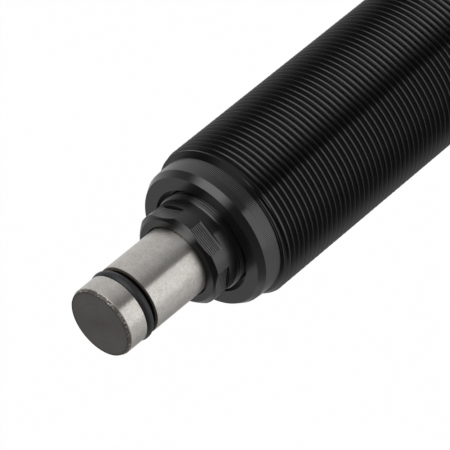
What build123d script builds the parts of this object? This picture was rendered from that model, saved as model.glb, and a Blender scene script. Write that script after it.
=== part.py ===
from build123d import *
from math import cos, pi, radians, tan
import os

# Single-acting hydraulic cylinder with a threaded body and a return spring, in millimetres.
# It stands on its rear face. The origin is the centre of that face, and +Z runs along the bore
# towards the tip of the ram. The ram is drawn fully retracted, as it rests.

os.makedirs("parts", exist_ok=True)

# Main sizes. The bore and the body grow outward from the ram, by what lies around it
stroke = 50.0
ram_diameter = 17.0
ram_stickout = 24.8
body_wall = 6.05

# Fits, all radial
running_clearance = 0.04
seat_clearance = 0.02
thread_clearance = 0.05
free_clearance = 0.25
spring_tube_gap = 0.45
spring_bore_gap = 0.6

# Rear collar of the body, with two spanner flats. Depths are below the body's outside
collar_length = 14.0
collar_flat_depth = 2.05
collar_flat_length = 11.0
collar_chamfer = 1.0
relief_width = 3.0
relief_depth = 1.35

# Nose of the body, measured back from its front face and in from the body's outside
head_length = 18.1
nose_chamfer_length = 1.7
nose_chamfer_depth = 0.95
neck_depth = 1.8
neck_length = 1.8
runout_depth = 1.65
runout_length = 2.7
mouth_gap = 1.05
mouth_depth = 2.5

# Rear plug, with the oil port
plug_recess = 0.5
plug_length = 21.5
plug_thread_height = 1.0
plug_thread_relief = 1.0
plug_spigot_length = 6.5
plug_chamfer = 0.6
port_diameter = 11.3
port_depth = 13.0
port_chamfer = 0.8
passage_diameter = 4.0
oil_slot_width = 3.0
oil_slot_depth = 1.0
spanner_hole_diameter = 4.2
spanner_hole_depth = 5.0
spanner_hole_distance = 4.35
drill_point_angle = 59.0

# Gland, measured back from its front face
gland_stickout = 8.1
gland_wall = 3.1
gland_thread_height = 0.4
gland_spigot_length = 8.0
gland_end_gap = 0.5
gland_flat_depth = 0.6
gland_flats = 6
gland_flat_length = 4.3
gland_flat_angle = -92.0
gland_chamfer_length = 0.85
gland_chamfer_depth = 1.1
gland_round_length = 7.1
gland_relief_width = 0.4
gland_relief_depth = 0.45
gland_mouth_clearance = 0.35
gland_rim_length = 4.6

# Wiper and guide bush in the gland
wiper_groove_width = 3.8
wiper_groove_depth = 1.8
wiper_lip_length = 1.3
wiper_lip_thickness = 0.28
gland_land_length = 2.1
bush_wall = 1.0
bush_split = 0.6

# Static and sliding seals: squeezed sections, thickness is radial
gland_seal_thickness = 1.15
gland_seal_width = 1.75
plug_seal_thickness = 1.6
plug_seal_width = 1.9
plug_backup_width = 1.3
piston_bore_seal_thickness = 1.1
piston_bore_seal_width = 1.6
seal_side_gap = 0.1
seal_roundness = 0.45
backup_corner = 0.1

# Ram
ram_chamfer_length = 0.8
ram_chamfer_depth = 0.35
ram_shoulder_height = 2.5
ram_spigot_entry = 0.8
ram_shoulder_depth = 6.0
tip_ring_section = 2.63
tip_ring_proud = 0.34
tip_groove_width = 3.5
tip_groove_setback = 5.65

# Piston
piston_length = 19.0
piston_chamfer = 0.5
cup_groove_setback = 2.0
cup_groove_depth = 3.5
cup_height = 5.6
cup_lip_depth = 2.6
cup_lip_width = 0.95
cup_backup_width = 1.5
wear_ring_setback = 1.6
wear_ring_width = 4.0
wear_ring_thickness = 1.55
wear_ring_split = 1.0
wear_ring_split_angle = 45.0
bore_seal_setback = 4.0

# Nut and washer that hold the piston
nut_wall = 3.0
nut_height = 6.5
nut_setback = 1.0
washer_overhang = 2.0
washer_thickness = 1.5

# Return spring, its seats and the stop tube
wire_diameter = 2.2
active_coils = 13
closed_coils = 1
closed_coil_gap = 0.05
pitch_bend_angle = 30.0
solid_margin = 3.0
spring_seat_thickness = 1.5
spring_seat_corner = 0.2
stop_tube_wall = 1.0
stop_gap = 0.05

# Radii that several pieces share. Around the ram lie the stop tube, the spring and the body
ram_radius = ram_diameter / 2
spigot_radius = ram_radius - ram_shoulder_height
stop_tube_inner = ram_radius + free_clearance
stop_tube_outer = stop_tube_inner + stop_tube_wall
wire_radius = wire_diameter / 2
coil_radius = stop_tube_outer + spring_tube_gap + wire_radius
bore_radius = coil_radius + wire_radius + spring_bore_gap
body_radius = bore_radius + body_wall
neck_radius = body_radius - neck_depth
runout_radius = body_radius - runout_depth
relief_radius = body_radius - relief_depth
gland_radius = ram_radius + gland_wall
gland_thread_radius = gland_radius + gland_thread_height
mouth_radius = gland_thread_radius + mouth_gap
head_bore_radius = gland_radius + thread_clearance
plug_thread_radius = bore_radius + plug_thread_height
plug_spigot_radius = bore_radius - running_clearance
piston_radius = bore_radius - running_clearance

# Stations along the axis, from the rear face to the tip of the ram
plug_front = plug_recess + plug_length
ram_rear = plug_front
nut_rear = ram_rear + nut_setback
washer_rear = nut_rear + nut_height
piston_rear = washer_rear + washer_thickness
piston_front = piston_rear + piston_length
ram_shoulder = piston_front - ram_shoulder_depth
spring_rear = piston_front + spring_seat_thickness
spring_solid_length = (active_coils + 2 * closed_coils) * wire_diameter
spring_shortest = spring_solid_length + solid_margin
spring_length = spring_shortest + stroke
spring_front = spring_rear + spring_length
head_shoulder = spring_front + spring_seat_thickness
nose_face = head_shoulder + head_length
gland_rear = head_shoulder + gland_end_gap
gland_face = nose_face + gland_stickout
ram_front = gland_face + ram_stickout


# One ring about the axis, with its section's corners rounded
def ring(inner_radius, outer_radius, rear, width, corner):
    with BuildPart() as made:
        with BuildSketch(Plane.XZ):
            with Locations(((inner_radius + outer_radius) / 2, rear + width / 2)):
                RectangleRounded(outer_radius - inner_radius, width, corner)
        revolve(axis=Axis.Z)
    return made


# Body: a turned blank, bored through, with a plain nose, a relief and a flatted collar
thread_rear = collar_length + relief_width
neck_front = nose_face - nose_chamfer_length
runout_front = neck_front - neck_length
runout_rear = runout_front - runout_length
thread_front = runout_rear - runout_depth
plug_bore_radius = plug_thread_radius + thread_clearance
plug_bore_depth = plug_front - plug_spigot_length
mouth_rear = nose_face - mouth_depth
head_thread_radius = gland_thread_radius + thread_clearance
head_thread_rear = gland_rear + gland_spigot_length

with BuildPart() as cylinder_body:
    with BuildSketch(Plane.XZ):
        with BuildLine():
            Polyline(
                (0, 0),
                (body_radius - collar_chamfer, 0),
                (body_radius, collar_chamfer),
                (body_radius, collar_length),
                (relief_radius, collar_length),
                (relief_radius, thread_rear),
                (body_radius, thread_rear + relief_depth),
                (body_radius, thread_front),
                (runout_radius, runout_rear),
                (runout_radius, runout_front),
                (neck_radius, runout_front),
                (neck_radius, neck_front),
                (neck_radius - nose_chamfer_depth, nose_face),
                (0, nose_face),
                close=True,
            )
        make_face()
    revolve(axis=Axis.Z)
    with BuildSketch(Plane.XZ):
        with BuildLine():
            Polyline(
                (0, 0),
                (plug_bore_radius, 0),
                (plug_bore_radius, plug_bore_depth),
                (bore_radius, plug_bore_depth),
                (bore_radius, head_shoulder),
                (head_bore_radius, head_shoulder),
                (head_bore_radius, head_thread_rear),
                (head_thread_radius, head_thread_rear),
                (head_thread_radius, mouth_rear),
                (mouth_radius, mouth_rear),
                (mouth_radius, nose_face),
                (0, nose_face),
                close=True,
            )
        make_face()
    revolve(axis=Axis.Z, mode=Mode.SUBTRACT)
    # The two spanner flats on the collar
    with BuildSketch(Plane.XY):
        Circle(2 * body_radius)
        Rectangle(4 * body_radius, 2 * (body_radius - collar_flat_depth), mode=Mode.SUBTRACT)
    extrude(amount=collar_flat_length, mode=Mode.SUBTRACT)

# Rear plug: screwed in, sealed on its spigot, with the port, its passage and two spanner holes
plug_thread_front = plug_bore_depth - plug_thread_relief
plug_groove_width = plug_seal_width + plug_backup_width + 3 * seal_side_gap
plug_groove_front = plug_front - (plug_spigot_length - plug_groove_width) / 2
plug_groove_rear = plug_groove_front - plug_groove_width
plug_groove_radius = bore_radius - plug_seal_thickness
port_radius = port_diameter / 2
passage_radius = passage_diameter / 2
port_bottom = plug_recess + port_depth
drill_point = (port_radius - passage_radius) / tan(radians(drill_point_angle))

with BuildPart() as end_plug:
    with BuildSketch(Plane.XZ):
        with BuildLine():
            Polyline(
                (0, plug_recess),
                (plug_thread_radius - plug_chamfer, plug_recess),
                (plug_thread_radius, plug_recess + plug_chamfer),
                (plug_thread_radius, plug_thread_front),
                (plug_spigot_radius, plug_thread_front),
                (plug_spigot_radius, plug_groove_rear),
                (plug_groove_radius, plug_groove_rear),
                (plug_groove_radius, plug_groove_front),
                (plug_spigot_radius, plug_groove_front),
                (plug_spigot_radius, plug_front - plug_chamfer),
                (plug_spigot_radius - plug_chamfer, plug_front),
                (0, plug_front),
                close=True,
            )
        make_face()
    revolve(axis=Axis.Z)
    with BuildSketch(Plane.XZ):
        with BuildLine():
            Polyline(
                (0, plug_recess),
                (port_radius + port_chamfer, plug_recess),
                (port_radius, plug_recess + port_chamfer),
                (port_radius, port_bottom),
                (passage_radius, port_bottom + drill_point),
                (passage_radius, plug_front),
                (0, plug_front),
                close=True,
            )
        make_face()
    revolve(axis=Axis.Z, mode=Mode.SUBTRACT)
    # A slot lets oil under the ram while it rests on the plug
    with BuildSketch(Plane.XY.offset(plug_front)):
        Rectangle(2 * bore_radius, oil_slot_width)
    extrude(amount=-oil_slot_depth, mode=Mode.SUBTRACT)
    with BuildSketch(Plane.XY.offset(plug_recess)):
        with PolarLocations(port_radius + spanner_hole_distance, 2):
            Circle(spanner_hole_diameter / 2)
    extrude(amount=spanner_hole_depth, mode=Mode.SUBTRACT)

plug_ring_inner = plug_groove_radius + seat_clearance
plug_ring_outer = bore_radius - seat_clearance
end_plug_backup_ring = ring(
    plug_ring_inner, plug_ring_outer, plug_groove_rear + seal_side_gap, plug_backup_width, backup_corner)
end_plug_o_ring = ring(
    plug_ring_inner,
    plug_ring_outer,
    plug_groove_rear + plug_backup_width + 2 * seal_side_gap,
    plug_seal_width,
    plug_seal_thickness * seal_roundness,
)

# Gland: screwed into the nose, bored for the guide bush and the wiper, with milled flats in front
gland_spigot_front = gland_rear + gland_spigot_length
gland_groove_width = gland_seal_width + 2 * seal_side_gap
gland_groove_rear = gland_rear + (gland_spigot_length - gland_groove_width) / 2
gland_groove_front = gland_groove_rear + gland_groove_width
gland_groove_radius = head_bore_radius - gland_seal_thickness
gland_round_rear = gland_face - gland_round_length
gland_thread_front = gland_round_rear - gland_relief_width
gland_relief_radius = gland_radius - gland_relief_depth
gland_rim_rear = gland_face - gland_rim_length
wiper_groove_rear = gland_rim_rear - wiper_groove_width
wiper_groove_radius = ram_radius + wiper_groove_depth
gland_mouth_radius = ram_radius + gland_mouth_clearance
gland_land_radius = ram_radius + free_clearance
bush_outer_radius = ram_radius + bush_wall - seat_clearance
bush_bore_radius = bush_outer_radius + seat_clearance
bush_rear = gland_rear + seal_side_gap
bush_bore_front = wiper_groove_rear - gland_land_length
bush_length = bush_bore_front - seal_side_gap - bush_rear

with BuildPart() as gland_nut:
    with BuildSketch(Plane.XZ):
        with BuildLine():
            Polyline(
                (0, gland_rear),
                (gland_radius, gland_rear),
                (gland_radius, gland_groove_rear),
                (gland_groove_radius, gland_groove_rear),
                (gland_groove_radius, gland_groove_front),
                (gland_radius, gland_groove_front),
                (gland_radius, gland_spigot_front),
                (gland_thread_radius, gland_spigot_front + gland_thread_height),
                (gland_thread_radius, gland_thread_front - gland_thread_height),
                (gland_radius, gland_thread_front),
                (gland_relief_radius, gland_thread_front),
                (gland_relief_radius, gland_round_rear),
                (gland_radius, gland_round_rear),
                (gland_radius, gland_face - gland_chamfer_length),
                (gland_radius - gland_chamfer_depth, gland_face),
                (0, gland_face),
                close=True,
            )
        make_face()
    revolve(axis=Axis.Z)
    with BuildSketch(Plane.XZ):
        with BuildLine():
            Polyline(
                (0, gland_rear),
                (bush_bore_radius, gland_rear),
                (bush_bore_radius, bush_bore_front),
                (gland_land_radius, bush_bore_front),
                (gland_land_radius, wiper_groove_rear),
                (wiper_groove_radius, wiper_groove_rear),
                (wiper_groove_radius, gland_rim_rear),
                (gland_mouth_radius, gland_rim_rear),
                (gland_mouth_radius, gland_face),
                (0, gland_face),
                close=True,
            )
        make_face()
    revolve(axis=Axis.Z, mode=Mode.SUBTRACT)
    # The milled flats end at a square shoulder
    with BuildSketch(Plane.XY.offset(gland_face - gland_flat_length)):
        Circle(2 * gland_radius)
        RegularPolygon(
            gland_radius - gland_flat_depth,
            gland_flats,
            major_radius=False,
            rotation=gland_flat_angle + 180 / gland_flats,
            mode=Mode.SUBTRACT,
        )
    extrude(amount=gland_flat_length, mode=Mode.SUBTRACT)

gland_o_ring = ring(
    gland_groove_radius + seat_clearance,
    head_bore_radius - seat_clearance,
    gland_groove_rear + seal_side_gap,
    gland_seal_width,
    gland_seal_thickness * seal_roundness,
)

# Guide bush: wrapped strip, so it is split along one side
with BuildPart() as rod_guide_bush:
    with BuildSketch(Plane.XY.offset(bush_rear)):
        Circle(bush_outer_radius)
        Circle(ram_radius + running_clearance, mode=Mode.SUBTRACT)
        with Locations((-ram_radius - bush_wall / 2, 0)):
            Rectangle(2 * bush_wall, bush_split, mode=Mode.SUBTRACT)
    extrude(amount=bush_length)

# Wiper: a heel that fills the groove and a thin lip that reaches along the ram towards its tip
wiper_rear = wiper_groove_rear + seal_side_gap
wiper_front = gland_rim_rear - seal_side_gap
wiper_inner = ram_radius + running_clearance
wiper_lip_front = gland_rim_rear + wiper_lip_length
with BuildPart() as rod_wiper:
    with BuildSketch(Plane.XZ):
        with BuildLine():
            Polyline(
                (wiper_groove_radius - seat_clearance, wiper_rear),
                (wiper_groove_radius - seat_clearance, wiper_front),
                (wiper_inner + 2 * wiper_lip_thickness, wiper_front),
                (wiper_inner + wiper_lip_thickness, wiper_front - wiper_lip_thickness),
                (wiper_inner + wiper_lip_thickness, wiper_lip_front),
                (wiper_inner, wiper_lip_front),
                (wiper_inner, wiper_front - wiper_lip_length),
                (wiper_inner + wiper_lip_thickness, wiper_rear),
                close=True,
            )
        make_face()
    revolve(axis=Axis.Z)

# Ram: one turned and ground rod, with the tip groove in front and the piston's spigot behind
tip_groove_front = ram_front - tip_groove_setback
tip_groove_rear = tip_groove_front - tip_groove_width
tip_groove_radius = ram_radius + tip_ring_proud - tip_ring_section
bore_seal_rear = piston_rear + bore_seal_setback
bore_groove_width = piston_bore_seal_width + 2 * seal_side_gap
bore_groove_radius = spigot_radius + running_clearance - piston_bore_seal_thickness
with BuildPart() as ram:
    with BuildSketch(Plane.XZ):
        with BuildLine():
            Polyline(
                (0, ram_rear),
                (spigot_radius - ram_spigot_entry, ram_rear),
                (spigot_radius, ram_rear + ram_spigot_entry),
                (spigot_radius, bore_seal_rear),
                (bore_groove_radius, bore_seal_rear),
                (bore_groove_radius, bore_seal_rear + bore_groove_width),
                (spigot_radius, bore_seal_rear + bore_groove_width),
                (spigot_radius, ram_shoulder),
                (ram_radius, ram_shoulder),
                (ram_radius, tip_groove_rear),
                (tip_groove_radius, tip_groove_rear),
                (tip_groove_radius, tip_groove_front),
                (ram_radius, tip_groove_front),
                (ram_radius, ram_front - ram_chamfer_length),
                (ram_radius - ram_chamfer_depth, ram_front),
                (0, ram_front),
                close=True,
            )
        make_face()
    revolve(axis=Axis.Z)

# The O-ring lies against the groove's front wall
tip_ring_radius = tip_groove_radius + tip_ring_section / 2
with BuildPart() as tip_o_ring:
    with BuildSketch(Plane.XZ):
        with Locations((tip_ring_radius, tip_groove_front - tip_ring_section / 2)):
            Circle(tip_ring_section / 2 - seat_clearance)
    revolve(axis=Axis.Z)

# Piston: grooves for the cup with its backup ring, and for the wear ring
cup_groove_rear = piston_rear + cup_groove_setback
cup_groove_front = cup_groove_rear + cup_height + cup_backup_width + 3 * seal_side_gap
cup_groove_radius = bore_radius - cup_groove_depth
wear_groove_front = piston_front - wear_ring_setback
wear_groove_rear = wear_groove_front - wear_ring_width
wear_groove_radius = bore_radius - wear_ring_thickness
with BuildPart() as piston_head:
    with BuildSketch(Plane.XZ):
        with BuildLine():
            Polyline(
                (spigot_radius + running_clearance, piston_rear),
                (piston_radius - piston_chamfer, piston_rear),
                (piston_radius, piston_rear + piston_chamfer),
                (piston_radius, cup_groove_rear),
                (cup_groove_radius, cup_groove_rear),
                (cup_groove_radius, cup_groove_front),
                (piston_radius, cup_groove_front),
                (piston_radius, wear_groove_rear),
                (wear_groove_radius, wear_groove_rear),
                (wear_groove_radius, wear_groove_front),
                (piston_radius, wear_groove_front),
                (piston_radius, piston_front - piston_chamfer),
                (piston_radius - piston_chamfer, piston_front),
                (ram_radius + running_clearance, piston_front),
                (ram_radius + running_clearance, ram_shoulder),
                (spigot_radius + running_clearance, ram_shoulder),
                close=True,
            )
        make_face()
    revolve(axis=Axis.Z)

# Cup seal: its two lips open towards the oil, behind the piston
cup_rear = cup_groove_rear + seal_side_gap
cup_front = cup_rear + cup_height
cup_inner = cup_groove_radius + seat_clearance
cup_outer = bore_radius - seat_clearance
with BuildPart() as piston_seal:
    with BuildSketch(Plane.XZ):
        with BuildLine():
            Polyline(
                (cup_inner, cup_front),
                (cup_inner, cup_rear),
                (cup_inner + cup_lip_width, cup_rear),
                ((cup_inner + cup_outer) / 2, cup_rear + cup_lip_depth),
                (cup_outer - cup_lip_width, cup_rear),
                (cup_outer, cup_rear),
                (cup_outer, cup_front),
                close=True,
            )
        make_face()
    revolve(axis=Axis.Z)

piston_backup_ring = ring(
    cup_inner, cup_outer, cup_front + seal_side_gap, cup_backup_width, backup_corner)
piston_o_ring = ring(
    bore_groove_radius + seat_clearance,
    spigot_radius + running_clearance - seat_clearance,
    bore_seal_rear + seal_side_gap,
    piston_bore_seal_width,
    piston_bore_seal_thickness * seal_roundness,
)

# Wear ring: a strip bent into the groove, with a slanted gap where its ends meet
wear_strip_width = wear_ring_width - 2 * seal_side_gap
with BuildPart() as piston_wear_ring:
    with BuildSketch(Plane.XY.offset(wear_groove_rear + seal_side_gap)):
        Circle(bore_radius - seat_clearance)
        Circle(wear_groove_radius + seat_clearance, mode=Mode.SUBTRACT)
    extrude(amount=wear_strip_width)
    with BuildSketch(Plane.YZ):
        with Locations((0, wear_groove_rear + wear_ring_width / 2)):
            Rectangle(wear_ring_split, 2 * bore_radius, rotation=wear_ring_split_angle)
    extrude(amount=2 * bore_radius, mode=Mode.SUBTRACT)

# Washer and nut behind the piston
nut_flat_radius = spigot_radius + nut_wall
with BuildPart() as piston_washer:
    with BuildSketch(Plane.XY.offset(washer_rear)):
        Circle(nut_flat_radius + washer_overhang)
        Circle(spigot_radius + running_clearance, mode=Mode.SUBTRACT)
    extrude(amount=washer_thickness)

nut_corner_radius = nut_flat_radius / cos(pi / 6)
nut_bevel = nut_corner_radius - nut_flat_radius
with BuildPart() as piston_nut:
    with BuildSketch(Plane.XY.offset(nut_rear)):
        RegularPolygon(nut_flat_radius, 6, major_radius=False)
        Circle(spigot_radius + running_clearance, mode=Mode.SUBTRACT)
    extrude(amount=nut_height)
    # The corners are bevelled on the free side
    with BuildSketch(Plane.XZ):
        with BuildLine():
            Polyline(
                (nut_flat_radius, nut_rear),
                (nut_corner_radius + nut_bevel, nut_rear),
                (nut_corner_radius + nut_bevel, nut_rear + nut_bevel),
                close=True,
            )
        make_face()
    revolve(axis=Axis.Z, mode=Mode.SUBTRACT)

# Spring seats and stop tube
seat_outer_radius = bore_radius - free_clearance
seat_inner_radius = ram_radius + free_clearance
rear_spring_seat = ring(
    seat_inner_radius,
    seat_outer_radius,
    piston_front,
    spring_seat_thickness,
    spring_seat_corner,
)
front_spring_seat = ring(
    seat_inner_radius,
    seat_outer_radius,
    spring_front,
    spring_seat_thickness,
    spring_seat_corner,
)

with BuildPart() as stop_tube:
    with BuildSketch(Plane.XY.offset(spring_rear)):
        Circle(stop_tube_outer)
        Circle(stop_tube_inner, mode=Mode.SUBTRACT)
    extrude(amount=spring_shortest - stop_gap)

# Return spring: active coils between two closed coils, with both ends ground flat. Where the pitch
# changes, a short bend meets the coils on both sides
bend_turns = pitch_bend_angle / 360
closed_pitch = wire_diameter + closed_coil_gap
closed_turns = closed_coils - bend_turns
coil_rear = spring_rear + wire_radius / 2
active_rear = coil_rear + closed_coils * closed_pitch
active_front = spring_front - wire_radius / 2 - closed_coils * closed_pitch
active_pitch = (active_front - active_rear) / active_coils


# Coils of one pitch, from an angle about the axis on
def coils(turns, pitch, rear, start_angle):
    with BuildLine(Plane.XY.rotated((0, 0, start_angle))) as made:
        Helix(pitch, turns * pitch, coil_radius, center=(0, 0, rear))
    return made.edge()


open_turns = active_coils - 2 * bend_turns
open_rear = active_rear + bend_turns * active_pitch
front_rear = active_front + bend_turns * closed_pitch
rear_coils = coils(closed_turns, closed_pitch, coil_rear, 0)
open_coils = coils(open_turns, active_pitch, open_rear, pitch_bend_angle)
front_coils = coils(closed_turns, closed_pitch, front_rear, pitch_bend_angle)
with BuildPart() as return_spring:
    with BuildLine() as wire_path:
        add((rear_coils, open_coils, front_coils))
        Spline(rear_coils @ 1, open_coils @ 0, tangents=(rear_coils % 1, open_coils % 0))
        Spline(open_coils @ 1, front_coils @ 0, tangents=(open_coils % 1, front_coils % 0))
    with BuildSketch(Plane(origin=rear_coils @ 0, z_dir=rear_coils % 0)):
        Circle(wire_radius)
    sweep(path=wire_path.wire(), is_frenet=True)
    with BuildSketch(Plane.XY.offset(spring_rear)):
        Circle(2 * bore_radius)
    extrude(amount=spring_length, mode=Mode.INTERSECT)

pieces = {
    "cylinder_body": cylinder_body,
    "end_plug": end_plug,
    "end_plug_o_ring": end_plug_o_ring,
    "end_plug_backup_ring": end_plug_backup_ring,
    "gland_nut": gland_nut,
    "gland_o_ring": gland_o_ring,
    "rod_guide_bush": rod_guide_bush,
    "rod_wiper": rod_wiper,
    "ram": ram,
    "tip_o_ring": tip_o_ring,
    "piston_head": piston_head,
    "piston_seal": piston_seal,
    "piston_backup_ring": piston_backup_ring,
    "piston_o_ring": piston_o_ring,
    "piston_wear_ring": piston_wear_ring,
    "piston_washer": piston_washer,
    "piston_nut": piston_nut,
    "rear_spring_seat": rear_spring_seat,
    "front_spring_seat": front_spring_seat,
    "stop_tube": stop_tube,
    "return_spring": return_spring,
}
for name, piece in pieces.items():
    piece.part.label = name
    export_step(piece.part, f"parts/{name}.step")
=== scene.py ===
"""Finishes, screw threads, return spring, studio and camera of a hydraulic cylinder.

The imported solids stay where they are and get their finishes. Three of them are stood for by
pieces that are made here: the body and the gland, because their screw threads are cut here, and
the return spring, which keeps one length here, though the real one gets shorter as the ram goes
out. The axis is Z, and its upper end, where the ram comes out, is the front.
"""

import logging
import math
from abc import ABC, abstractmethod
from dataclasses import dataclass, field
from enum import Enum
from typing import Union

import bmesh
import bpy
from mathutils import Matrix, Vector


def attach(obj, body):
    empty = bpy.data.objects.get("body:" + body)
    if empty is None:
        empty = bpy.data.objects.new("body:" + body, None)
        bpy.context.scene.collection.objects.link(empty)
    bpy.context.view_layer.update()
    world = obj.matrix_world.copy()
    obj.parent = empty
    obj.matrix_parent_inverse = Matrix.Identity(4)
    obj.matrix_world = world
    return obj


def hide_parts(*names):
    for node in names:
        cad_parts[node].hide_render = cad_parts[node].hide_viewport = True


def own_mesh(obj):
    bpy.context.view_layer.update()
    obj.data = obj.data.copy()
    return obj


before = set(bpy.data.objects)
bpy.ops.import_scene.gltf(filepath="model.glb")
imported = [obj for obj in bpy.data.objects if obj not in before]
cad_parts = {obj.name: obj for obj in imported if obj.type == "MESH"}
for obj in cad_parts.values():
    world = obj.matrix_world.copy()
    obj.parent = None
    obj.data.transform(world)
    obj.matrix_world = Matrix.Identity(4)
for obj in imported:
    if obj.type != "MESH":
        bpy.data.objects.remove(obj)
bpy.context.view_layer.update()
log = logging.getLogger("cylinder")

MM = 0.001
FULL_TURN = 2 * math.pi
WELD = 0.001 * MM
CUT_REACH = WELD / 10
SHARP_EDGE = 12.0
AXIS = Vector((0, 0, 1))
ORIGIN = Vector((0, 0, 0))
WHITE = (1.0, 1.0, 1.0)

# Places along the axis that a finish and a piece share.
THREAD_FRONT = 150.9 * MM
NECK_REAR = 153.6 * MM
FLATS_REAR = 160.9 * MM

# A place in front of every piece, for a mark that a finish doesn't have.
NOWHERE = 1.0

# How many finer layers a noise has that draws grain or chips.
FINE = 3.0

# The share of a turn that lays brushed highlights across marks that run round the axis.
ACROSS_MARKS = 0.25

Number = Union[float, int, "Signal"]
Colour = tuple[float, float, float]
Span = tuple[float, float]


class Slot(Enum):
    """The record's material slots of the black oxide and of the spring. Nothing in the script reads
    them.
    """

    OXIDE = "black_oxide_steel"
    SPRING = "spring_steel"


class Signal:
    """A shader socket that takes part in arithmetic. Each operation adds a Math node."""

    def __init__(self, shader: "Shader", socket: bpy.types.NodeSocket) -> None:
        """Keeps the socket and the shader that it belongs to.

        Args:
            shader: The node tree that new nodes go into.
            socket: The output that carries the value.
        """
        self.shader = shader
        self.socket = socket

    def __add__(self, other: Number) -> "Signal":
        """Returns the sum."""
        return self.shader.math("ADD", self, other)

    def __radd__(self, other: Number) -> "Signal":
        """Returns the sum, with the number first."""
        return self.shader.math("ADD", other, self)

    def __sub__(self, other: Number) -> "Signal":
        """Returns the difference."""
        return self.shader.math("SUBTRACT", self, other)

    def __rsub__(self, other: Number) -> "Signal":
        """Returns the difference, with the number first."""
        return self.shader.math("SUBTRACT", other, self)

    def __mul__(self, other: Number) -> "Signal":
        """Returns the product."""
        return self.shader.math("MULTIPLY", self, other)

    def __rmul__(self, other: Number) -> "Signal":
        """Returns the product, with the number first."""
        return self.shader.math("MULTIPLY", other, self)

    def __truediv__(self, other: Number) -> "Signal":
        """Returns the quotient."""
        return self.shader.math("DIVIDE", self, other)

    def __rtruediv__(self, other: Number) -> "Signal":
        """Returns the quotient, with the number first."""
        return self.shader.math("DIVIDE", other, self)

    def __gt__(self, other: Number) -> "Signal":
        """Returns 1 where this value is the greater, and 0 elsewhere."""
        return self.shader.math("GREATER_THAN", self, other)

    def __lt__(self, other: Number) -> "Signal":
        """Returns 1 where this value is the smaller, and 0 elsewhere."""
        return self.shader.math("LESS_THAN", self, other)


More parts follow.
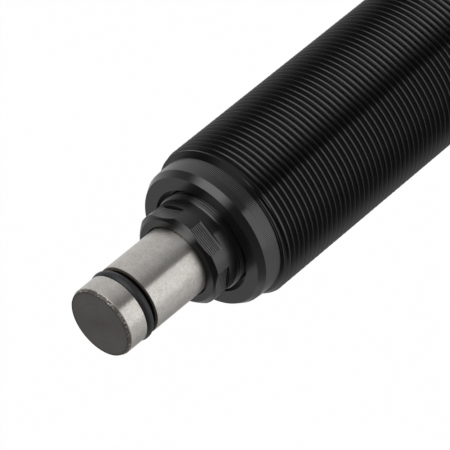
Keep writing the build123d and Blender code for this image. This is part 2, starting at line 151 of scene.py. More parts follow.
class Shader:
    """The node tree of one material or of the world."""

    def __init__(self, owner: Union[bpy.types.Material, bpy.types.World]) -> None:
        """Empties the owner's node tree.

        Args:
            owner: The material or world that is being made.
        """
        owner.use_nodes = True
        self.tree = owner.node_tree
        self.tree.nodes.clear()

    def node(self, kind: str, settings: dict, inputs: dict) -> bpy.types.Node:
        """Adds one node.

        Args:
            kind: The node's type.
            settings: Its properties, which are set first. A ramp's stops are pairs of a place and
                a grey.
            inputs: The values or signals of its sockets, by name or by number.

        Returns:
            The new node.
        """
        made = self.tree.nodes.new(kind)
        for name, value in settings.items():
            if name == "stops":
                self.set_stops(made.color_ramp, value)
            else:
                setattr(made, name, value)
        for name, value in inputs.items():
            if isinstance(value, Signal):
                self.tree.links.new(value.socket, made.inputs[name])
            else:
                made.inputs[name].default_value = value
        return made

    @staticmethod
    def set_stops(ramp: bpy.types.ColorRamp, stops: tuple[Span, ...]) -> None:
        """Writes a grey ramp.

        Args:
            ramp: The ramp of a new Color Ramp node, which has two stops.
            stops: The place and the grey of each stop, from left to right.
        """
        while len(ramp.elements) < len(stops):
            ramp.elements.new(1.0)
        for element, (place, grey) in zip(ramp.elements, stops):
            element.position = place
            element.color = (grey, grey, grey, 1.0)

    def signal(self, node: bpy.types.Node, output: Union[int, str] = 0) -> Signal:
        """Returns a node's output as a signal."""
        return Signal(self, node.outputs[output])

    def math(self, operation: str, *values: Number) -> Signal:
        """Returns the result of one Math node."""
        inputs = dict(enumerate(values))
        return self.signal(self.node("ShaderNodeMath", {"operation": operation}, inputs))

    def point(self, output: str = "Object") -> tuple[Signal, Signal, Signal]:
        """Returns where a surface is shaded, or which way the world is looked at.

        Args:
            output: Object for a piece's own coordinates, in metres, and Generated for the world's
                directions.

        Returns:
            The x, y and z.
        """
        place = self.signal(self.node("ShaderNodeTexCoord", {}, {}), output)
        parts = self.node("ShaderNodeSeparateXYZ", {}, {0: place})
        return self.signal(parts, 0), self.signal(parts, 1), self.signal(parts, 2)

    def radius(self, x: Signal, y: Signal) -> Signal:
        """Returns the distance from the axis."""
        return self.math("SQRT", x * x + y * y)

    def angle(self, x: Signal, y: Signal) -> Signal:
        """Returns the angle round the axis, from minus to plus half a turn, in radians."""
        return self.math("ARCTAN2", y, x)

    def wave(self, phase: Signal) -> Signal:
        """Returns a wave from 0 to 1 of a phase in radians."""
        return self.math("SINE", phase) * 0.5 + 0.5

    def noise(self, x: Number, y: Number, z: Number, size: float, detail: float = 2.0,
              roughness: float = 0.6) -> Signal:
        """Returns a noise value around one half.

        Args:
            x: First coordinate, in metres.
            y: Second coordinate, in metres.
            z: Third coordinate, in metres.
            size: Size of one blotch, in metres.
            detail: How many finer layers are added.
            roughness: How strong each finer layer is beside the one before.

        Returns:
            The noise, from about 0 to 1.
        """
        place = self.signal(self.node("ShaderNodeCombineXYZ", {}, {0: x, 1: y, 2: z}))
        inputs = {"Vector": place, "Scale": 1 / size, "Detail": detail, "Roughness": roughness}
        return self.signal(self.node("ShaderNodeTexNoise", {"noise_dimensions": "3D"}, inputs), "Fac")

    def ramp(self, value: Signal, low: float, high: float) -> Signal:
        """Returns a soft step.

        Args:
            value: The value that is compared.
            low: Where the step starts.
            high: Where the step ends.

        Returns:
            0 below low and 1 above high.
        """
        settings = {"interpolation_type": "SMOOTHSTEP", "clamp": True}
        inputs = {"Value": value, "From Min": low, "From Max": high}
        return self.signal(self.node("ShaderNodeMapRange", settings, inputs))

    def mix(self, amount: Number, first: Union[Colour, Signal],
            second: Union[Colour, Signal]) -> Signal:
        """Returns a colour between two colours.

        Args:
            amount: 0 gives the first colour and 1 the second.
            first: A colour or a signal that carries one.
            second: A colour or a signal that carries one.

        Returns:
            The mixed colour.
        """
        ends = [end if isinstance(end, Signal) else (*end, 1.0) for end in (first, second)]
        inputs = {0: amount, 6: ends[0], 7: ends[1]}
        return self.signal(self.node("ShaderNodeMix", {"data_type": "RGBA"}, inputs), 2)

    def bump(self, height: Signal, distance: float, strength: float) -> Signal:
        """Returns a normal tilted by a height, whose range of 1 is the distance in metres."""
        inputs = {"Height": height, "Distance": distance, "Strength": strength}
        return self.signal(self.node("ShaderNodeBump", {}, inputs))

    def surface(self, inputs: dict) -> None:
        """Adds the surface shader and the output."""
        made = self.node("ShaderNodeBsdfPrincipled", {}, inputs)
        self.output("ShaderNodeOutputMaterial", self.signal(made))

    def output(self, kind: str, shader: Signal) -> None:
        """Links the last shader to a new output node."""
        self.node(kind, {}, {"Surface": shader})


@dataclass(frozen=True)
class Finish(ABC):
    """A finish that is drawn by nodes, with its marks along and round the cylinder's axis."""

    name: str

    def make(self) -> bpy.types.Material:
        """Makes a material with this finish.

        Returns:
            The new material.
        """
        material = bpy.data.materials.new(self.name)
        self.paint(Shader(material))
        return material

    @abstractmethod
    def paint(self, shader: Shader) -> None:
        """Adds the finish's nodes to a material's empty tree."""


@dataclass(frozen=True)
class TurnedFinish(Finish):
    """Metal turned on a lathe: rings of fine marks, and bands with more or less gloss.

    Between the chatter's rear and front there are fine lines along the axis, left by a tool that
    shook, and in front of the chatter's rear the metal is a little paler.
    """

    colour: Colour
    tint: Colour
    roughness: float
    metallic: float = 0.0
    ior: float = 1.5
    anisotropy: float = 0.0
    band_gloss: float = 0.06
    mark_pitch: float = 0.12 * MM
    mark_depth: float = 0.004 * MM
    band_width: float = 1.2 * MM
    blotch: float = 4.0 * MM
    tint_span: Span = (0.35, 0.75)
    chatter_rear: float = NOWHERE
    chatter_front: float = NOWHERE
    chatter_pitch: float = 0.4 * MM
    chatter_waver: float = 6.0
    chatter_span: Span = (0.4, 0.9)
    chatter_roughness: float = 0.12
    chatter_height: float = 2.0
    chatter_tone: Colour = (0.014, 0.014, 0.014)
    # The tone in front of the chatter's rear, paler than the colour behind it.
    front_tone: Colour = (0.0055, 0.0055, 0.0056)
    front_blur: float = 0.5 * MM

    def paint(self, shader: Shader) -> None:
        """Adds the marks, the bands and the chatter.

        Args:
            shader: The material's empty tree.
        """
        x, y, z = shader.point()
        radius = shader.radius(x, y)
        marks = shader.noise(radius, z, 0.0, self.mark_pitch)
        bands = shader.noise(radius, z, 0.0, self.band_width)
        blotches = shader.noise(x, y, z, self.blotch)
        around = shader.angle(x, y) * radius
        ripples = shader.wave(
            around * (FULL_TURN / self.chatter_pitch) + blotches * self.chatter_waver)
        chatter = (z > self.chatter_rear) * (z < self.chatter_front)
        paler_front = shader.ramp(
            z, self.chatter_rear - self.front_blur, self.chatter_rear + self.front_blur)
        fresh = shader.mix(shader.ramp(blotches, *self.tint_span), self.colour, self.tint)
        base = shader.mix(paler_front, fresh, self.front_tone)
        gloss = (bands + marks - 1.0) * self.band_gloss
        shader.surface({
            "Base Color": shader.mix(
                chatter * shader.ramp(ripples, *self.chatter_span), base, self.chatter_tone),
            "Roughness": self.roughness + gloss + chatter * ripples * self.chatter_roughness,
            "Metallic": self.metallic,
            "IOR": self.ior,
            "Anisotropic": self.anisotropy,
            "Anisotropic Rotation": ACROSS_MARKS,
            "Normal": shader.bump(
                marks + chatter * ripples * self.chatter_height, self.mark_depth, 1.0),
        })


@dataclass(frozen=True)
class MilledFinish(Finish):
    """Flats with fine milled grooves. The first flat has paler ridges and a painted highlight at its
    rear edge.
    """

    colour: Colour
    # The colour of the first flat's paler ridges and of the painted highlight at its rear edge.
    worn: Colour
    roughness: float
    ior: float
    flat_angle: float
    flats: int
    rear: float
    mark_pitch: float = 0.5 * MM
    mark_depth: float = 0.02 * MM
    mark_waver: float = 2.0
    ridge_span: Span = (0.35, 0.9)
    corner_width: float = 0.3 * MM
    corner_blur: float = 0.15 * MM
    patch: float = 1.2 * MM
    patch_spread: Span = (0.35, 1.25)
    grain: float = 0.2 * MM
    grain_gloss: float = 0.1

    def paint(self, shader: Shader) -> None:
        """Adds the grooves, the paler ridges and the painted highlight at the first flat's rear edge.

        Args:
            shader: The material's empty tree.
        """
        x, y, z = shader.point()
        angle = shader.angle(x, y) - math.radians(self.flat_angle)
        first = shader.math("COSINE", angle) > math.cos(math.pi / self.flats)
        patches = shader.noise(x, y, z, self.patch)
        grain = shader.noise(x, y, z, self.grain)
        marks = shader.wave(
            (z - self.rear) * (FULL_TURN / self.mark_pitch) + patches * self.mark_waver)
        # A painted highlight along the first flat's rear edge, where its shoulder catches the light.
        corner_front = self.rear + self.corner_width
        edge_highlight = 1 - shader.ramp(z, corner_front, corner_front + self.corner_blur)
        least, most = self.patch_spread
        ridges = shader.ramp(marks, *self.ridge_span) * (least + patches * (most - least))
        # The first flat gets the paler ridges and the painted highlight.
        worn = first * shader.math("MAXIMUM", ridges, edge_highlight)
        shader.surface({
            "Base Color": shader.mix(worn, self.colour, self.worn),
            "Roughness": self.roughness + (grain - 0.5) * self.grain_gloss,
            "IOR": self.ior,
            "Normal": shader.bump(marks, self.mark_depth, 1.0),
        })


@dataclass(frozen=True)
class RamFinish(Finish):
    """Ground steel along the ram, a dark sawn end, a chamfer with brown patches and painted shade in
    the O-ring's groove.

    The sizes named shares, and the span of the groove's walls, are shares of the end's radius.
    The lip's and the chamfer's spans are in metres, from the end's rim and the chamfer's rear.
    """

    steel: Colour
    steel_tint: Colour
    end_grey: Colour
    end_brown: Colour
    rim_brown: Colour
    # The painted shade in the O-ring's groove.
    groove_shade: Colour
    lip_brown: Colour
    end_z: float
    chamfer_z: float
    end_radius: float
    roughness: float = 0.32
    specular_level: float = 0.15
    anisotropy: float = 0.85
    grain: float = 0.35 * MM
    grain_span: Span = (0.35, 0.65)
    grain_weight: float = 0.65
    grain_gloss: float = 0.25
    grain_height: float = 0.6
    scratch_length: float = 3.0 * MM
    scratch_width: float = 0.175 * MM
    scratch_depth: float = 0.01 * MM
    scratch_strength: float = 0.8
    blotch: float = 1.6 * MM
    blotch_span: Span = (0.3, 0.7)
    end_reach: float = 0.004 * MM
    end_roughness: float = 0.4
    ring_width: float = 0.5 * MM
    ring_span: Span = (0.3, 0.7)
    ring_weight: float = 0.5
    ring_gloss: float = 0.1
    centre_share: float = 0.45
    chip: float = 0.5 * MM
    chip_span: Span = (0.32, 0.45)
    chip_dullness: float = 0.7
    chip_lip_span: Span = (0.4, 0.55)
    chamfer_span: Span = (-0.1 * MM, 0.25 * MM)
    lip_span: Span = (0.95 * MM, 0.55 * MM)
    groove_share: float = 0.985
    groove_front: float = 0.2 * MM
    wall_span: Span = (0.88, 0.93)

    def paint(self, shader: Shader) -> None:
        """Adds the steel, the end, the chamfer and the painted shade in the groove.

        Args:
            shader: The material's empty tree.
        """
        x, y, z = shader.point()
        radius = shader.radius(x, y)
        around = shader.angle(x, y) * self.end_radius
        grain = shader.noise(x, y, z, self.grain, FINE)
        scratches = shader.noise(
            around * (2 * self.scratch_width / self.scratch_length), z, 0.0, self.scratch_width, FINE)
        blotches = shader.noise(x, y, z, self.blotch)
        rings = shader.noise(radius, 0.0, 0.0, self.ring_width)
        chips = shader.noise(x, y, z, self.chip, FINE)

        end = z > self.end_z - self.end_reach
        rear, front = self.chamfer_span
        chamfer = shader.ramp(z, self.chamfer_z + rear, self.chamfer_z + front) * (1 - end)
        # Brown wear patches on the chamfer, with bare steel between them.
        worn = chamfer * shader.ramp(chips, *self.chip_span)
        # The O-ring's groove, which is painted near black and unmetallic as shade.
        groove = ((radius < self.groove_share * self.end_radius)
                  * (z < self.chamfer_z - self.groove_front))

        blotched = shader.ramp(blotches, *self.blotch_span) * (1 - self.grain_weight)
        stains = blotched + shader.ramp(grain, *self.grain_span) * self.grain_weight
        steel = shader.mix(stains, self.steel, self.steel_tint)
        inner, outer = (share * self.end_radius for share in self.wall_span)
        # Painted shade in the groove: near black deep in, turning to the rim's brown near its outer
        # edge.
        walls = shader.mix(
            shader.ramp(radius, inner, outer), self.groove_shade, self.rim_brown)
        outside = shader.mix(worn, steel, self.rim_brown)
        chipped = end * shader.ramp(chips, *self.chip_lip_span)
        dark = self.end_colour(shader, radius, rings, chipped)
        end_gloss = end * self.end_roughness + (rings - 0.5) * end * self.ring_gloss
        shader.surface({
            "Base Color": shader.mix(groove, shader.mix(end, outside, dark), walls),
            "Roughness": self.roughness + (grain - 0.5) * self.grain_gloss + end_gloss,
            "Metallic": 1.0 - shader.math("MAXIMUM", end + groove, worn * self.chip_dullness),
            "Specular IOR Level": self.specular_level,
            "Anisotropic": self.anisotropy,
            "Anisotropic Rotation": ACROSS_MARKS,
            "Normal": shader.bump(
                scratches + grain * self.grain_height, self.scratch_depth, self.scratch_strength),
        })

    def end_colour(self, shader: Shader, radius: Signal, rings: Signal, chipped: Signal) -> Signal:
        """Draws the sawn end: faint rings, a browner centre and a dark, chipped lip.

        Args:
            shader: The material's tree.
            radius: The distance from the axis.
            rings: A noise that changes only with the radius.
            chipped: 1 where the end's lip would be chipped, and 0 elsewhere.

        Returns:
            The colour of the end.
        """
        centre = shader.ramp(radius, 0.0, self.centre_share * self.end_radius)
        ringed = shader.ramp(rings, *self.ring_span) * self.ring_weight
        tone = ringed + centre * (1 - self.ring_weight)
        face = shader.mix(tone, self.end_brown, self.end_grey)
        inner, outer = (self.end_radius - inset for inset in self.lip_span)
        return shader.mix(shader.ramp(radius, inner, outer) * chipped, face, self.lip_brown)


@dataclass(frozen=True)
class MouldedFinish(Finish):
    """Rubber or plastic with a fine, slightly uneven skin."""

    colour: Colour
    roughness: float
    ior: float = 1.5
    grain: float = 0.25 * MM
    grain_gloss: float = 0.12
    depth: float = 0.008 * MM
    strength: float = 0.6
    patch: float = 2.0 * MM
    paler: float = 1.35

    def paint(self, shader: Shader) -> None:
        """Adds the grain and the paler patches.

        Args:
            shader: The material's empty tree.
        """
        x, y, z = shader.point()
        grain = shader.noise(x, y, z, self.grain, FINE)
        patches = shader.noise(x, y, z, self.patch)
        pale = tuple(self.paler * part for part in self.colour)
        shader.surface({
            "Base Color": shader.mix(patches, self.colour, pale),
            "Roughness": self.roughness + (grain - 0.5) * self.grain_gloss,
            "IOR": self.ior,
            "Normal": shader.bump(grain, self.depth, self.strength),
        })


def new_piece(name: str, mesh: bmesh.types.BMesh, materials: list[bpy.types.Material],
              node: str) -> bpy.types.Object:
    """Makes an object of a finished mesh, on the fixed cylinder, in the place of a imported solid.

    Args:
        name: The piece's name.
        mesh: The mesh, which is freed.
        materials: Its materials, in the order of its faces' material numbers.
        node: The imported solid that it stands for.

    Returns:
        The new object.
    """
    data = bpy.data.meshes.new(name)
    mesh.to_mesh(data)
    mesh.free()
    if data.has_custom_normals:
        data.attributes.remove(data.attributes["custom_normal"])
    data.shade_smooth()
    data.set_sharp_from_angle(angle=math.radians(SHARP_EDGE))
    for material in materials:
        data.materials.append(material)
    piece = bpy.data.objects.new(name, data)
    bpy.context.scene.collection.objects.link(piece)
    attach(piece, "cylinder")
    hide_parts(node)
    log.info("%s: %d faces", name, len(data.polygons))
    return piece


def cut_across(mesh: bmesh.types.BMesh, place: float, outward: Vector = AXIS,
               clear: bool = False) -> None:
    """Cuts a mesh across the axis.

    Args:
        mesh: The mesh to cut.
        place: Where the cut is along the axis, in metres.
        outward: Which way along the axis is beyond the cut.
        clear: Whether what lies beyond the cut is taken away.
    """
    bmesh.ops.bisect_plane(
        mesh, geom=mesh.verts[:] + mesh.edges[:] + mesh.faces[:], dist=CUT_REACH,
        plane_co=AXIS * place, plane_no=outward, clear_outer=clear)


@dataclass
class ScrewThread:
    """A right-hand V thread between two slopes, as a strip that climbs round the axis."""

    crest_radius: float
    depth: float
    pitch: float
    rear: float
    front: float
    rear_radius: float
    front_radius: float
    crest_angle: float
    flank_angle: float = 30.0
    crest_share: float = 0.125
    crest_round: float = 0.1
    front_stairs: int = 0
    stair: float = 0.3 * MM
    stair_riser: float = 0.02 * MM
    last_stair: float = 0.9
    end_gap: float = 0.04 * MM
    seam_reach: float = 0.07 * MM
    steps: int = 96

    def outline(self) -> list[Vector]:
        """Draws the section of one pitch, from root to root, with the crest's corners rounded.

        Returns:
            The section's points.
        """
        run = self.depth * math.tan(math.radians(self.flank_angle))
        half_crest = self.crest_share * self.pitch / 2
        rounding = self.crest_round * self.depth
        slope = rounding * math.tan(math.radians(self.flank_angle))
        root = self.crest_radius - self.depth
        middle = self.pitch / 2
        half = [
            (root, 0.0),
            (root, middle - half_crest - run),
            (self.crest_radius - rounding, middle - half_crest - slope),
            (self.crest_radius, middle - half_crest + rounding),
        ]
        mirrored = [(radius, self.pitch - place) for radius, place in reversed(half)]
        return [Vector((radius, 0, place)) for radius, place in half + mirrored]

    def add_to(self, mesh: bmesh.types.BMesh) -> None:
        """Adds the thread to a mesh that is open between the slopes, and closes both seams.

        The strip starts one and a half turns behind the rear, so that both its ragged ends lie
        outside the thread and are cut off.

        Args:
            mesh: The part, with its round blank taken away between rear and front.
        """
        strip = bmesh.new()
        verts = [strip.verts.new(point) for point in self.outline()]
        edges = [strip.edges.new(pair) for pair in zip(verts, verts[1:])]
        bmesh.ops.spin(
            strip, geom=verts + edges, cent=ORIGIN, axis=AXIS, angle=FULL_TURN, steps=self.steps,
            dvec=AXIS * (self.pitch / self.steps), use_merge=False, use_duplicate=False)
        turns = math.ceil((self.front - self.rear) / self.pitch) + 2
        one_turn = strip.verts[:] + strip.edges[:] + strip.faces[:]
        for turn in range(1, turns):
            copy = bmesh.ops.duplicate(strip, geom=one_turn)["geom"]
            moved = [item for item in copy if isinstance(item, bmesh.types.BMVert)]
            bmesh.ops.translate(strip, verts=moved, vec=AXIS * (turn * self.pitch))
        bmesh.ops.remove_doubles(strip, verts=strip.verts[:], dist=WELD)
        start = self.rear - 1.5 * self.pitch
        bmesh.ops.translate(strip, verts=strip.verts[:], vec=AXIS * start)
        turned = Matrix.Rotation(math.radians(self.crest_angle), 3, "Z")
        bmesh.ops.rotate(strip, verts=strip.verts[:], cent=ORIGIN, matrix=turned)
        self.trim(strip)
        self.join(mesh, strip)

    def trim(self, strip: bmesh.types.BMesh) -> None:
        """Cuts the thread off at both ends and runs it out on the slopes there.

        Args:
            strip: The thread, which is longer than it should be.
        """
        cut_across(strip, self.rear + self.end_gap, -AXIS, True)
        cut_across(strip, self.front - self.end_gap, AXIS, True)
        for number in range(1, self.front_stairs + 1):
            for side in (-0.5, 0.5):
                cut_across(strip, self.front - number * self.stair + side * self.stair_riser)
        for vert in strip.verts:
            behind = self.rear_radius + max(vert.co.z - self.rear, 0)
            before = self.front_radius + self.rise(self.front - vert.co.z)
            radius = math.hypot(vert.co.x, vert.co.y)
            share = min(1.0, behind / radius, before / radius)
            vert.co.x *= share
            vert.co.y *= share

    def rise(self, depth: float) -> float:
        """Gives the height of the front slope, which is in stairs where the thread has them.

        Args:
            depth: How far a point is behind the thread's front.

        Returns:
            How far the slope has risen there.
        """
        if self.front_stairs and depth < (self.front_stairs + self.last_stair) * self.stair:
            return self.stair * math.floor(depth / self.stair)
        return max(depth, 0)

    def join(self, mesh: bmesh.types.BMesh, strip: bmesh.types.BMesh) -> None:
        """Puts the trimmed thread into the part's mesh and bridges the two narrow seams.

        Args:
            mesh: The part.
            strip: The thread, which is freed.
        """
        data = bpy.data.meshes.new("thread")
        strip.to_mesh(data)
        strip.free()
        mesh.from_mesh(data)
        bpy.data.meshes.remove(data)
        for place in (self.rear, self.front):
            seam = [edge for edge in mesh.edges if edge.is_boundary
                    and abs(edge.verts[0].co.z - place) < self.seam_reach]
            bmesh.ops.bridge_loops(mesh, edges=seam)
        bmesh.ops.recalc_face_normals(mesh, faces=mesh.faces[:])


@dataclass
class ThreadedPart:
    """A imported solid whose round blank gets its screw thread."""

    node: str
    name: str
    thread: ScrewThread
    bore_radius: float

    def mesh(self) -> bmesh.types.BMesh:
        """Copies the solid, merged, and puts the thread in the place of its blank.

        Returns:
            The part's mesh.
        """
        made = bmesh.new()
        made.from_mesh(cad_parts[self.node].data)
        bmesh.ops.remove_doubles(made, verts=made.verts[:], dist=WELD)
        cut_across(made, self.thread.rear)
        cut_across(made, self.thread.front)
        blank = []
        for face in made.faces:
            centre = face.calc_center_median()
            between = self.thread.rear < centre.z < self.thread.front
            if between and math.hypot(centre.x, centre.y) > self.bore_radius:
                blank.append(face)
        bmesh.ops.delete(made, geom=blank, context="FACES")
        self.thread.add_to(made)
        return made


@dataclass
class CylinderBody:
    """The threaded body: its collar, its screw thread and its plain nose."""

    finish: TurnedFinish
    neck_radius: float = 17.25 * MM
    neck_front: float = 155.3 * MM
    part: ThreadedPart = field(default_factory=lambda: ThreadedPart(
        node="cylinder_body",
        name="threaded_body",
        bore_radius=16.0 * MM,
        thread=ScrewThread(
            crest_radius=18.93 * MM, depth=0.86 * MM, pitch=1.5875 * MM, rear=17.0 * MM,
            front=THREAD_FRONT, rear_radius=17.7 * MM, front_radius=17.4 * MM, crest_angle=120.0,
            front_stairs=5),
    ))

    def build(self) -> None:
        """Builds the body, with the fine step behind its nose eased to a slight taper."""
        mesh = self.part.mesh()
        for vert in mesh.verts:
            on_step = abs(vert.co.z - NECK_REAR) < WELD
            if on_step and math.hypot(vert.co.x, vert.co.y) < self.neck_radius + WELD:
                vert.co.z = self.neck_front
        new_piece(self.part.name, mesh, [self.finish.make()], self.part.node)


@dataclass
class Gland:
    """The gland: its fine thread in the mouth of the body, and its milled flats in front."""

    finish: TurnedFinish
    flats: MilledFinish
    flat_radius: float = 11.0 * MM
    flat_reach: float = 0.05 * MM
    flat_tilt: float = 0.01
    part: ThreadedPart = field(default_factory=lambda: ThreadedPart(
        node="gland_nut",
        name="threaded_gland",
        bore_radius=11.2 * MM,
        thread=ScrewThread(
            crest_radius=12.0 * MM, depth=0.2 * MM, pitch=0.6 * MM, rear=147.5 * MM,
            front=158.4 * MM, rear_radius=11.6 * MM, front_radius=11.6 * MM, crest_angle=0.0,
            crest_share=0.4, crest_round=0.5),
    ))

    def build(self) -> None:
        """Builds the gland, and gives its flats the milled finish."""
        mesh = self.part.mesh()
        for face in mesh.faces:
            centre = face.calc_center_median()
            outward = Vector((face.normal.x, face.normal.y, 0)).dot(centre)
            upright = abs(face.normal.z) < self.flat_tilt
            on_flat = abs(outward - self.flat_radius) < self.flat_reach and upright
            face.material_index = int(on_flat and centre.z > FLATS_REAR)
        materials = [self.finish.make(), self.flats.make()]
        new_piece(self.part.name, mesh, materials, self.part.node)


@dataclass
class ReturnSpring:
    """The return spring: active coils between closed ones, ground flat at both ends."""

    finish: TurnedFinish
    wire_radius: float = 1.1 * MM
    coil_radius: float = 11.3 * MM
    rear: float = 51.5 * MM
    front: float = 137.5 * MM
    shortest: float = 36.0 * MM
    seat_gap: float = 0.03 * MM
    active_coils: int = 13
    closed_gap: float = 0.05 * MM
    steps: int = 40
    sides: int = 12

    def build(self) -> None:
        """Builds the spring at one length, with closed coils at both ends cut flat."""
        mesh = bmesh.new()
        closed_pitch = 2 * self.wire_radius + self.closed_gap
        active_length = self.front - self.rear - self.wire_radius - 2 * closed_pitch
        active_pitch = active_length / self.active_coils
        stretches = ((1, closed_pitch), (self.active_coils, active_pitch), (1, closed_pitch))
        upright = Matrix.Rotation(math.pi / 2, 4, "X")
        start = Matrix.Translation((self.coil_radius, 0, self.rear + self.wire_radius / 2))
        bmesh.ops.create_circle(
            mesh, segments=self.sides, radius=self.wire_radius, matrix=start @ upright)
        end = mesh.verts[:] + mesh.edges[:]
        for coils, pitch in stretches:
            end = bmesh.ops.spin(
                mesh, geom=end, cent=ORIGIN, axis=AXIS, angle=FULL_TURN * coils,
                steps=self.steps * coils, dvec=AXIS * (pitch / self.steps), use_merge=False,
                use_duplicate=False)["geom_last"]
        cut_across(mesh, self.rear, -AXIS, True)
        cut_across(mesh, self.front, AXIS, True)
        rims = [edge for edge in mesh.edges if edge.is_boundary]
        bmesh.ops.holes_fill(mesh, edges=rims, sides=0)
        bmesh.ops.recalc_face_normals(mesh, faces=mesh.faces[:])
        spring = new_piece(
            "coil_spring", mesh, [self.finish.make()], "return_spring")
        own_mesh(spring)


@dataclass
class PlainSolids:
    """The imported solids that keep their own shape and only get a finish."""

    finishes: dict[str, Finish]

    def dress(self) -> None:
        """Gives each solid its finish, with one material for each finish."""
        made = {}
        for name, finish in self.finishes.items():
            if finish.name not in made:
                made[finish.name] = finish.make()
            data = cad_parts[name].data
            data.materials.clear()
            data.materials.append(made[finish.name])
            log.info("%s: %s", name, finish.name)


@dataclass
class Studio:
    """White surroundings, a pale floor, one soft box and the camera.

    Bearings are round the object, from +X towards +Y. The camera stands towards -Y. What the
    metal mirrors has its own levels, apart from what the camera sees and what lights the object.
    """

    aim: Vector = field(default_factory=lambda: Vector((-0.624 * MM, 0.0, 149.652 * MM)))
    camera_distance: float = 868.038 * MM
    camera_elevation: float = 32.4411
    camera_roll: float = -129.3343
    lens: float = 317.195
    sensor: float = 36.0
    floor_radius: float = 1.6
    floor_sides: int = 96
    floor_drop: float = 0.3 * MM
    floor_paper: Colour = (0.8, 0.8, 0.8)
    floor_white: float = 0.985
    # The floor's mirrored level by bearing, in turns from -X towards -Y: 0.25 is at the camera.
    floor_levels: tuple[Span, ...] = (
        (0.0, 0.58), (0.05, 0.66), (0.09, 1.0), (0.228, 1.0), (0.238, 0.16), (0.3, 0.2),
        (0.36, 0.28), (0.5, 0.6), (0.7, 0.68), (0.8, 0.4), (0.87, 0.28), (0.95, 0.48), (1.0, 0.58))
    plain_level: float = 0.55
    mirror_least: float = 0.02
    mirror_low: float = 0.22
    mirror_back: float = 0.38
    low_span: Span = (0.05, 0.5)
    back_span: Span = (0.2, 0.8)
    box_level: float = 1.6
    box_size: tuple[float, float] = (1.05, 0.85)
    box_distance: float = 0.9
    box_bearing: float = -42.0
    box_elevation: float = 40.0
    box_half_width: float = 27.0
    box_blur: float = 14.0
    box_foot: Span = (0.0, 0.15)
    box_top: Span = (0.93, 0.99)

    def build(self) -> None:
        """Builds the floor, the surroundings, the soft box and the camera."""
        self.build_floor()
        self.build_world()
        self.build_soft_box()
        self.build_camera()

    @staticmethod
    def ray_kinds(shader: Shader) -> tuple[Signal, Signal]:
        """Tells apart what the camera sees and what the object mirrors or lets through.

        Args:
            shader: The tree of the floor or the world.

        Returns:
            1 for a ray from the camera, and 1 for a mirrored or refracted ray.
        """
        path = shader.node("ShaderNodeLightPath", {}, {})
        mirrored = shader.math(
            "MAXIMUM", shader.signal(path, "Is Glossy Ray"),
            shader.signal(path, "Is Transmission Ray"))
        return shader.signal(path, "Is Camera Ray"), mirrored

    def build_floor(self) -> None:
        """Builds the pale floor, which is white to the camera apart from the object's shadow."""
        mesh = bmesh.new()
        low = Matrix.Translation((0, 0, -self.floor_drop))
        bmesh.ops.create_circle(
            mesh, cap_ends=True, segments=self.floor_sides, radius=self.floor_radius, matrix=low)
        data = bpy.data.meshes.new("floor")
        mesh.to_mesh(data)
        mesh.free()
        material = bpy.data.materials.new("floor_paper")
        shader = Shader(material)
        camera, mirrored = self.ray_kinds(shader)
        x, y, _ = shader.point()
        bearing = shader.angle(x, y) / FULL_TURN + 0.5
        levels = shader.node("ShaderNodeValToRGB", {"stops": self.floor_levels}, {"Fac": bearing})
        seen = shader.mix(mirrored, WHITE, shader.signal(levels, "Color"))
        glow = shader.node("ShaderNodeEmission", {}, {"Color": seen, "Strength": 1.0})
        paper = shader.node("ShaderNodeBsdfDiffuse", {}, {"Color": (*self.floor_paper, 1.0)})
        share = shader.math("MAXIMUM", camera * self.floor_white, mirrored)
        mixed = shader.node("ShaderNodeMixShader", {}, {
            0: share, 1: shader.signal(paper), 2: shader.signal(glow)})
        shader.output("ShaderNodeOutputMaterial", shader.signal(mixed))
        data.materials.append(material)
        floor = bpy.data.objects.new("floor", data)
        bpy.context.scene.collection.objects.link(floor)

    def build_world(self) -> None:
        """Builds the surroundings: white to the camera, and a plain level that lights the object."""
        world = bpy.data.worlds.new("surroundings")
        bpy.context.scene.world = world
        shader = Shader(world)
        camera, mirrored = self.ray_kinds(shader)
        x, y, z = shader.point("Generated")
        low = 1 - shader.ramp(z, *self.low_span)
        back = shader.ramp(y, *self.back_span)
        box = self.box_image(shader, shader.angle(x, y), z)
        mirror_level = (self.mirror_least + low * self.mirror_low + back * self.mirror_back
                        + box * self.box_level)
        strength = (self.plain_level + camera * (1 - self.plain_level)
                    + mirrored * (mirror_level - self.plain_level))
        background = shader.node("ShaderNodeBackground", {}, {
            "Color": (*WHITE, 1.0), "Strength": strength})
        shader.output("ShaderNodeOutputWorld", shader.signal(background))

    def box_image(self, shader: Shader, angle: Signal, height: Signal) -> Signal:
        """Draws the soft box as the metal mirrors it, with edges softer than the lamp's own.

        Args:
            shader: The world's tree.
            angle: The bearing of a direction, in radians.
            height: The direction's height, from -1 straight down to 1 straight up.

        Returns:
            1 in the box and 0 outside it.
        """
        aside = shader.math("ABSOLUTE", angle - math.radians(self.box_bearing))
        inner = math.radians(self.box_half_width - self.box_blur)
        outer = math.radians(self.box_half_width + self.box_blur)
        within = 1 - shader.ramp(aside, inner, outer)
        below_top = 1 - shader.ramp(height, *self.box_top)
        return within * shader.ramp(height, *self.box_foot) * below_top

    def build_soft_box(self) -> None:
        """Builds one large soft box at the front right, whose mirror image is in the world."""
        lamp = bpy.data.lights.new("soft_box", "AREA")
        lamp.shape = "RECTANGLE"
        lamp.size, lamp.size_y = self.box_size
        lamp.energy = self.box_level * math.pi * lamp.size * lamp.size_y
        box = bpy.data.objects.new("soft_box", lamp)
        bearing, height = math.radians(self.box_bearing), math.radians(self.box_elevation)
        flat = math.cos(height)
        outward = Vector((flat * math.cos(bearing), flat * math.sin(bearing), math.sin(height)))
        box.location = self.aim + outward * self.box_distance
        box.rotation_euler = outward.to_track_quat("Z", "Y").to_euler()
        box.visible_camera = False
        box.visible_glossy = False
        bpy.context.scene.collection.objects.link(box)

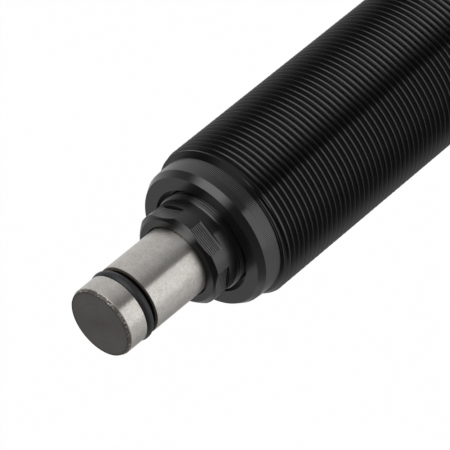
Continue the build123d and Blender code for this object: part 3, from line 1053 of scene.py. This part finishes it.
    def build_camera(self) -> None:
        """Builds the camera: it looks along +Y and down, rolled to put the tip at the lower left."""
        lens = bpy.data.cameras.new("camera")
        lens.lens = self.lens
        lens.sensor_width = self.sensor
        camera = bpy.data.objects.new("camera", lens)
        tilt = Matrix.Rotation(math.radians(90 - self.camera_elevation), 4, "X")
        roll = Matrix.Rotation(math.radians(self.camera_roll), 4, "Z")
        back = Matrix.Translation((0, 0, self.camera_distance))
        camera.matrix_world = Matrix.Translation(self.aim) @ tilt @ roll @ back
        bpy.context.scene.collection.objects.link(camera)
        bpy.context.scene.camera = camera


def main() -> None:
    """Builds every sub-assembly in turn, then the studio."""
    logging.basicConfig(level=logging.INFO, format="%(name)s: %(message)s")
    oxide = TurnedFinish(
        name="black_oxide", colour=(0.0012, 0.0012, 0.0014), tint=(0.0022, 0.0018, 0.0015),
        roughness=0.2, ior=1.8, anisotropy=0.8, chatter_rear=THREAD_FRONT, chatter_front=NECK_REAR)
    # The overlay colour paints the first flat's paler ridges and the highlight at its rear edge.
    milled = MilledFinish(
        name="milled_oxide", colour=(0.0015, 0.0015, 0.0016), worn=(0.13, 0.13, 0.135),
        roughness=0.15, ior=1.8, flat_angle=-92.0, flats=6, rear=FLATS_REAR)
    bright = TurnedFinish(
        name="bright_steel", colour=(0.45, 0.45, 0.44), tint=(0.38, 0.37, 0.35), roughness=0.35,
        metallic=1.0)
    wire = TurnedFinish(
        name="spring_wire", colour=(0.18, 0.17, 0.16), tint=(0.12, 0.11, 0.1), roughness=0.4,
        metallic=1.0)
    bronze = TurnedFinish(
        name="bronze", colour=(0.45, 0.28, 0.12), tint=(0.35, 0.22, 0.1), roughness=0.4,
        metallic=1.0)
    # The groove colour of the ground steel is painted shade in the O-ring's groove.
    ground = RamFinish(
        name="ground_steel", steel=(0.86, 0.84, 0.805), steel_tint=(0.66, 0.622, 0.572),
        end_grey=(0.088, 0.087, 0.085), end_brown=(0.072, 0.064, 0.057),
        rim_brown=(0.11, 0.094, 0.08), groove_shade=(0.008, 0.007, 0.006),
        lip_brown=(0.04, 0.033, 0.028), end_z=190.0 * MM, chamfer_z=189.2 * MM,
        end_radius=8.5 * MM)
    rubber = MouldedFinish(name="rubber", colour=(0.016, 0.017, 0.018), roughness=0.42)
    wiper = MouldedFinish(name="wiper_plastic", colour=(0.02, 0.02, 0.022), roughness=0.5)
    seal = MouldedFinish(name="seal_plastic", colour=(0.25, 0.3, 0.35), roughness=0.4)
    backup = MouldedFinish(name="backup_plastic", colour=(0.7, 0.68, 0.62), roughness=0.5)
    wear = MouldedFinish(name="wear_plastic", colour=(0.06, 0.12, 0.09), roughness=0.5)

    CylinderBody(oxide).build()
    Gland(oxide, milled).build()
    ReturnSpring(wire).build()
    PlainSolids({
        "end_plug": oxide, "end_plug_o_ring": rubber, "end_plug_backup_ring": backup,
        "gland_o_ring": rubber, "rod_guide_bush": bronze, "rod_wiper": wiper, "ram": ground,
        "tip_o_ring": rubber, "piston_head": bright, "piston_seal": seal,
        "piston_backup_ring": backup, "piston_o_ring": rubber, "piston_wear_ring": wear,
        "piston_washer": bright, "piston_nut": bright, "rear_spring_seat": bright,
        "front_spring_seat": bright, "stop_tube": bright,
    }).dress()
    Studio().build()

    scene = bpy.context.scene
    scene.view_settings.view_transform = "Standard"


if __name__ == "__main__":
    main()
